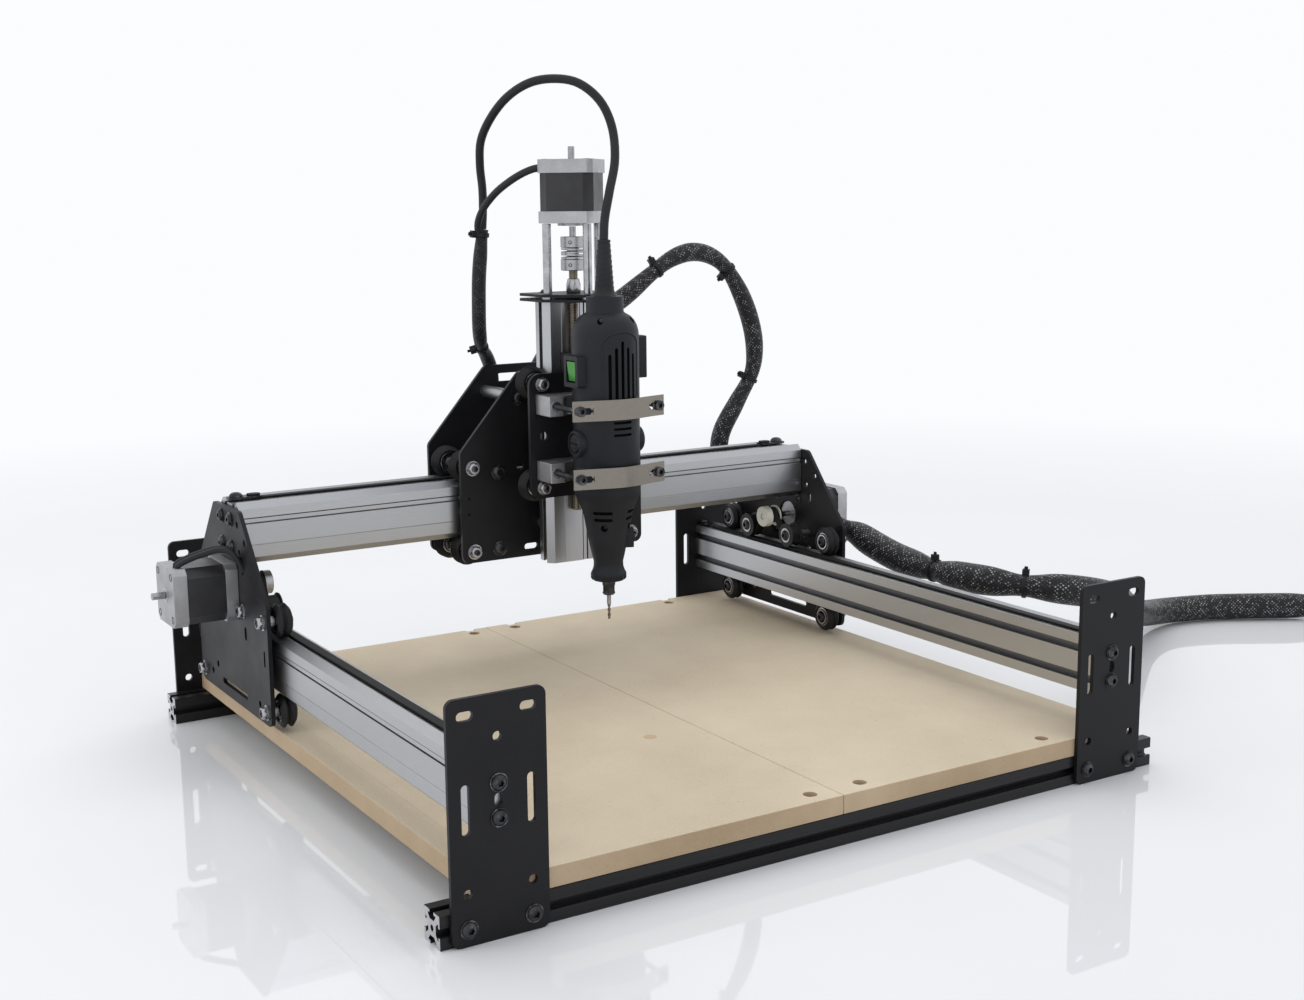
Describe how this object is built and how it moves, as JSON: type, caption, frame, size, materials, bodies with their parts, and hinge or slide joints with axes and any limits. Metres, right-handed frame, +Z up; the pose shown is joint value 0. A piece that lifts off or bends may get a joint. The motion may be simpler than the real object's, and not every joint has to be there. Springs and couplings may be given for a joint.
{
  "type": "cnc router",
  "caption": "Three-axis tabletop CNC router: belt-driven gantry and carriage on V-rails, screw-driven Z axis holding a hand tool over a fibreboard bed.",
  "frame": {"origin": "middle of the machine's footprint on the surface that it stands on", "axes": "+X to the machine's right along the gantry, +Y to its back, +Z up"},
  "size_m": [1.1004, 0.5126, 0.4893],
  "materials": {
    "black_anodised": "black anodised, satin",
    "silver_anodised": "clear anodised, satin",
    "black_coated_steel": "black powder coat, satin",
    "bare_aluminium": "milled and tumbled",
    "zinc_steel": "zinc plated",
    "motor_black": "black laminated body between cast end caps",
    "wood_fibreboard": "unsealed fibreboard",
    "belt_rubber": "matte toothed belt",
    "wheel_nylon": "turned, satin",
    "tool_plastic": "finely textured moulding",
    "switch_green": "translucent green",
    "collet_steel": "blackened",
    "cord_rubber": "smooth matte",
    "braided_sleeve": "open braided monofilament sleeve",
    "connector_nylon": "moulded"
  },
  "bodies": {
    "base": {"front_cross_rail": "black_anodised", "rear_cross_rail": "black_anodised", "board_left": "wood_fibreboard", "board_right": "wood_fibreboard", "end_plate_front_left": "black_coated_steel", "end_plate_front_right": "black_coated_steel", "end_plate_rear_left": "black_coated_steel", "end_plate_rear_right": "black_coated_steel", "y_rail_left": "silver_anodised", "y_rail_right": "silver_anodised", "y_belt_left": "belt_rubber", "y_belt_right": "belt_rubber"},
    "gantry": {"y_plate_left": "black_coated_steel", "y_plate_right": "black_coated_steel", "x_rail_front": "silver_anodised", "x_rail_rear": "silver_anodised", "y_motor_left": "motor_black", "y_motor_right": "motor_black", "x_belt": "belt_rubber", "main_harness": "braided_sleeve", "harness_connector": "connector_nylon", "loop_harness": "braided_sleeve"},
    "x_carriage": {"x_plate_front": "black_coated_steel", "x_plate_rear": "black_coated_steel", "x_motor": "motor_black", "z_rail": "silver_anodised", "z_motor_mount": "zinc_steel", "z_motor": "motor_black", "carriage_harness": "braided_sleeve", "spindle_cord": "cord_rubber"},
    "z_carriage": {"z_plate": "black_coated_steel", "clamp_lower": "bare_aluminium", "clamp_upper": "bare_aluminium", "tool_body": "tool_plastic"},
    "y_wheel_left_lower_front": {"y_wheel_left_lower_front": "wheel_nylon"},
    "y_wheel_left_lower_rear": {"y_wheel_left_lower_rear": "wheel_nylon"},
    "y_wheel_left_upper_front": {"y_wheel_left_upper_front": "wheel_nylon"},
    "y_wheel_left_upper_rear": {"y_wheel_left_upper_rear": "wheel_nylon"},
    "y_pulley_left": {"y_pulley_left": "bare_aluminium"},
    "y_wheel_right_lower_front": {"y_wheel_right_lower_front": "wheel_nylon"},
    "y_wheel_right_lower_rear": {"y_wheel_right_lower_rear": "wheel_nylon"},
    "y_wheel_right_upper_front": {"y_wheel_right_upper_front": "wheel_nylon"},
    "y_wheel_right_upper_rear": {"y_wheel_right_upper_rear": "wheel_nylon"},
    "y_pulley_right": {"y_pulley_right": "bare_aluminium"},
    "x_wheel_front_left_lower": {"x_wheel_front_left_lower": "wheel_nylon"},
    "x_wheel_front_left_upper": {"x_wheel_front_left_upper": "wheel_nylon"},
    "x_wheel_front_right_lower": {"x_wheel_front_right_lower": "wheel_nylon"},
    "x_wheel_front_right_upper": {"x_wheel_front_right_upper": "wheel_nylon"},
    "x_wheel_rear_left_lower": {"x_wheel_rear_left_lower": "wheel_nylon"},
    "x_wheel_rear_left_upper": {"x_wheel_rear_left_upper": "wheel_nylon"},
    "x_wheel_rear_right_lower": {"x_wheel_rear_right_lower": "wheel_nylon"},
    "x_wheel_rear_right_upper": {"x_wheel_rear_right_upper": "wheel_nylon"},
    "x_pulley": {"x_pulley": "bare_aluminium"},
    "z_wheel_left_lower": {"z_wheel_left_lower": "wheel_nylon"},
    "z_wheel_left_upper": {"z_wheel_left_upper": "wheel_nylon"},
    "z_wheel_right_lower": {"z_wheel_right_lower": "wheel_nylon"},
    "z_wheel_right_upper": {"z_wheel_right_upper": "wheel_nylon"},
    "lead_screw": {"lead_screw": "zinc_steel"},
    "power_switch": {"power_switch": "switch_green"},
    "spindle": {"spindle": "collet_steel"}
  },
  "joints": [
    {"name": "y_slide", "type": "slide", "parent": "base", "child": "gantry", "axis": [0, 1, 0], "range_m": [-0.3, 0.02]},
    {"name": "x_slide", "type": "slide", "parent": "gantry", "child": "x_carriage", "axis": [1, 0, 0], "range_m": [-0.14, 0.14], "deforming": ["loop_harness"]},
    {"name": "z_slide", "type": "slide", "parent": "x_carriage", "child": "z_carriage", "axis": [0, 0, 1], "range_m": [-0.055, 0.005], "deforming": ["spindle_cord"]},
    {"name": "y_wheel_left_lower_front_spin", "type": "hinge", "parent": "gantry", "child": "y_wheel_left_lower_front", "pos_m": [-0.24, 0.07, 0.0476], "axis": [1, 0, 0], "continuous": true},
    {"name": "y_wheel_left_lower_rear_spin", "type": "hinge", "parent": "gantry", "child": "y_wheel_left_lower_rear", "pos_m": [-0.24, 0.21, 0.0476], "axis": [1, 0, 0], "continuous": true},
    {"name": "y_wheel_left_upper_front_spin", "type": "hinge", "parent": "gantry", "child": "y_wheel_left_upper_front", "pos_m": [-0.24, 0.07, 0.1124], "axis": [1, 0, 0], "continuous": true},
    {"name": "y_wheel_left_upper_rear_spin", "type": "hinge", "parent": "gantry", "child": "y_wheel_left_upper_rear", "pos_m": [-0.24, 0.21, 0.1124], "axis": [1, 0, 0], "continuous": true},
    {"name": "y_pulley_left_spin", "type": "hinge", "parent": "gantry", "child": "y_pulley_left", "pos_m": [-0.232, 0.14, 0.1246], "axis": [1, 0, 0], "continuous": true},
    {"name": "y_wheel_right_lower_front_spin", "type": "hinge", "parent": "gantry", "child": "y_wheel_right_lower_front", "pos_m": [0.24, 0.07, 0.0476], "axis": [1, 0, 0], "continuous": true},
    {"name": "y_wheel_right_lower_rear_spin", "type": "hinge", "parent": "gantry", "child": "y_wheel_right_lower_rear", "pos_m": [0.24, 0.21, 0.0476], "axis": [1, 0, 0], "continuous": true},
    {"name": "y_wheel_right_upper_front_spin", "type": "hinge", "parent": "gantry", "child": "y_wheel_right_upper_front", "pos_m": [0.24, 0.07, 0.1124], "axis": [1, 0, 0], "continuous": true},
    {"name": "y_wheel_right_upper_rear_spin", "type": "hinge", "parent": "gantry", "child": "y_wheel_right_upper_rear", "pos_m": [0.24, 0.21, 0.1124], "axis": [1, 0, 0], "continuous": true},
    {"name": "y_pulley_right_spin", "type": "hinge", "parent": "gantry", "child": "y_pulley_right", "pos_m": [0.232, 0.14, 0.1246], "axis": [1, 0, 0], "continuous": true},
    {"name": "x_wheel_front_left_lower_spin", "type": "hinge", "parent": "x_carriage", "child": "x_wheel_front_left_lower", "pos_m": [-0.07, 0.125, 0.1336], "axis": [0, 1, 0], "continuous": true},
    {"name": "x_wheel_front_left_upper_spin", "type": "hinge", "parent": "x_carriage", "child": "x_wheel_front_left_upper", "pos_m": [-0.07, 0.125, 0.1984], "axis": [0, 1, 0], "continuous": true},
    {"name": "x_wheel_front_right_lower_spin", "type": "hinge", "parent": "x_carriage", "child": "x_wheel_front_right_lower", "pos_m": [0.07, 0.125, 0.1336], "axis": [0, 1, 0], "continuous": true},
    {"name": "x_wheel_front_right_upper_spin", "type": "hinge", "parent": "x_carriage", "child": "x_wheel_front_right_upper", "pos_m": [0.07, 0.125, 0.1984], "axis": [0, 1, 0], "continuous": true},
    {"name": "x_wheel_rear_left_lower_spin", "type": "hinge", "parent": "x_carriage", "child": "x_wheel_rear_left_lower", "pos_m": [-0.07, 0.1553, 0.1336], "axis": [0, 1, 0], "continuous": true},
    {"name": "x_wheel_rear_left_upper_spin", "type": "hinge", "parent": "x_carriage", "child": "x_wheel_rear_left_upper", "pos_m": [-0.07, 0.1553, 0.1984], "axis": [0, 1, 0], "continuous": true},
    {"name": "x_wheel_rear_right_lower_spin", "type": "hinge", "parent": "x_carriage", "child": "x_wheel_rear_right_lower", "pos_m": [0.07, 0.1553, 0.1336], "axis": [0, 1, 0], "continuous": true},
    {"name": "x_wheel_rear_right_upper_spin", "type": "hinge", "parent": "x_carriage", "child": "x_wheel_rear_right_upper", "pos_m": [0.07, 0.1553, 0.1984], "axis": [0, 1, 0], "continuous": true},
    {"name": "x_pulley_spin", "type": "hinge", "parent": "x_carriage", "child": "x_pulley", "pos_m": [0, 0.1473, 0.2106], "axis": [0, 1, 0], "continuous": true},
    {"name": "z_wheel_left_lower_spin", "type": "hinge", "parent": "z_carriage", "child": "z_wheel_left_lower", "pos_m": [-0.0324, 0.082, 0.186], "axis": [0, 1, 0], "continuous": true},
    {"name": "z_wheel_left_upper_spin", "type": "hinge", "parent": "z_carriage", "child": "z_wheel_left_upper", "pos_m": [-0.0324, 0.082, 0.264], "axis": [0, 1, 0], "continuous": true},
    {"name": "z_wheel_right_lower_spin", "type": "hinge", "parent": "z_carriage", "child": "z_wheel_right_lower", "pos_m": [0.0324, 0.082, 0.186], "axis": [0, 1, 0], "continuous": true},
    {"name": "z_wheel_right_upper_spin", "type": "hinge", "parent": "z_carriage", "child": "z_wheel_right_upper", "pos_m": [0.0324, 0.082, 0.264], "axis": [0, 1, 0], "continuous": true},
    {"name": "lead_screw_spin", "type": "hinge", "parent": "x_carriage", "child": "lead_screw", "pos_m": [0, 0.073, 0.25], "axis": [0, 0, 1], "continuous": true},
    {"name": "power_switch_rock", "type": "hinge", "parent": "z_carriage", "child": "power_switch", "pos_m": [-0.0263, 0.027, 0.2765], "axis": [0, 1, 0], "range_deg": [0, 12]},
    {"name": "spindle_spin", "type": "hinge", "parent": "z_carriage", "child": "spindle", "pos_m": [0, 0.027, 0.1184], "axis": [0, 0, 1], "continuous": true}
  ],
  "couplings": [
    {"joint": "y_wheel_left_lower_front_spin", "follows": "y_slide", "rad_per_m": 102},
    {"joint": "y_wheel_left_lower_rear_spin", "follows": "y_slide", "rad_per_m": 102},
    {"joint": "y_wheel_left_upper_front_spin", "follows": "y_slide", "rad_per_m": -102},
    {"joint": "y_wheel_left_upper_rear_spin", "follows": "y_slide", "rad_per_m": -102},
    {"joint": "y_pulley_left_spin", "follows": "y_slide", "rad_per_m": 157},
    {"joint": "y_wheel_right_lower_front_spin", "follows": "y_slide", "rad_per_m": 102},
    {"joint": "y_wheel_right_lower_rear_spin", "follows": "y_slide", "rad_per_m": 102},
    {"joint": "y_wheel_right_upper_front_spin", "follows": "y_slide", "rad_per_m": -102},
    {"joint": "y_wheel_right_upper_rear_spin", "follows": "y_slide", "rad_per_m": -102},
    {"joint": "y_pulley_right_spin", "follows": "y_slide", "rad_per_m": 157},
    {"joint": "x_wheel_front_left_lower_spin", "follows": "x_slide", "rad_per_m": -102},
    {"joint": "x_wheel_front_left_upper_spin", "follows": "x_slide", "rad_per_m": 102},
    {"joint": "x_wheel_front_right_lower_spin", "follows": "x_slide", "rad_per_m": -102},
    {"joint": "x_wheel_front_right_upper_spin", "follows": "x_slide", "rad_per_m": 102},
    {"joint": "x_wheel_rear_left_lower_spin", "follows": "x_slide", "rad_per_m": -102},
    {"joint": "x_wheel_rear_left_upper_spin", "follows": "x_slide", "rad_per_m": 102},
    {"joint": "x_wheel_rear_right_lower_spin", "follows": "x_slide", "rad_per_m": -102},
    {"joint": "x_wheel_rear_right_upper_spin", "follows": "x_slide", "rad_per_m": 102},
    {"joint": "x_pulley_spin", "follows": "x_slide", "rad_per_m": -157},
    {"joint": "z_wheel_left_lower_spin", "follows": "z_slide", "rad_per_m": 102},
    {"joint": "z_wheel_left_upper_spin", "follows": "z_slide", "rad_per_m": 102},
    {"joint": "z_wheel_right_lower_spin", "follows": "z_slide", "rad_per_m": -102},
    {"joint": "z_wheel_right_upper_spin", "follows": "z_slide", "rad_per_m": -102},
    {"joint": "lead_screw_spin", "follows": "z_slide", "rad_per_m": 5026.5}
  ]
}
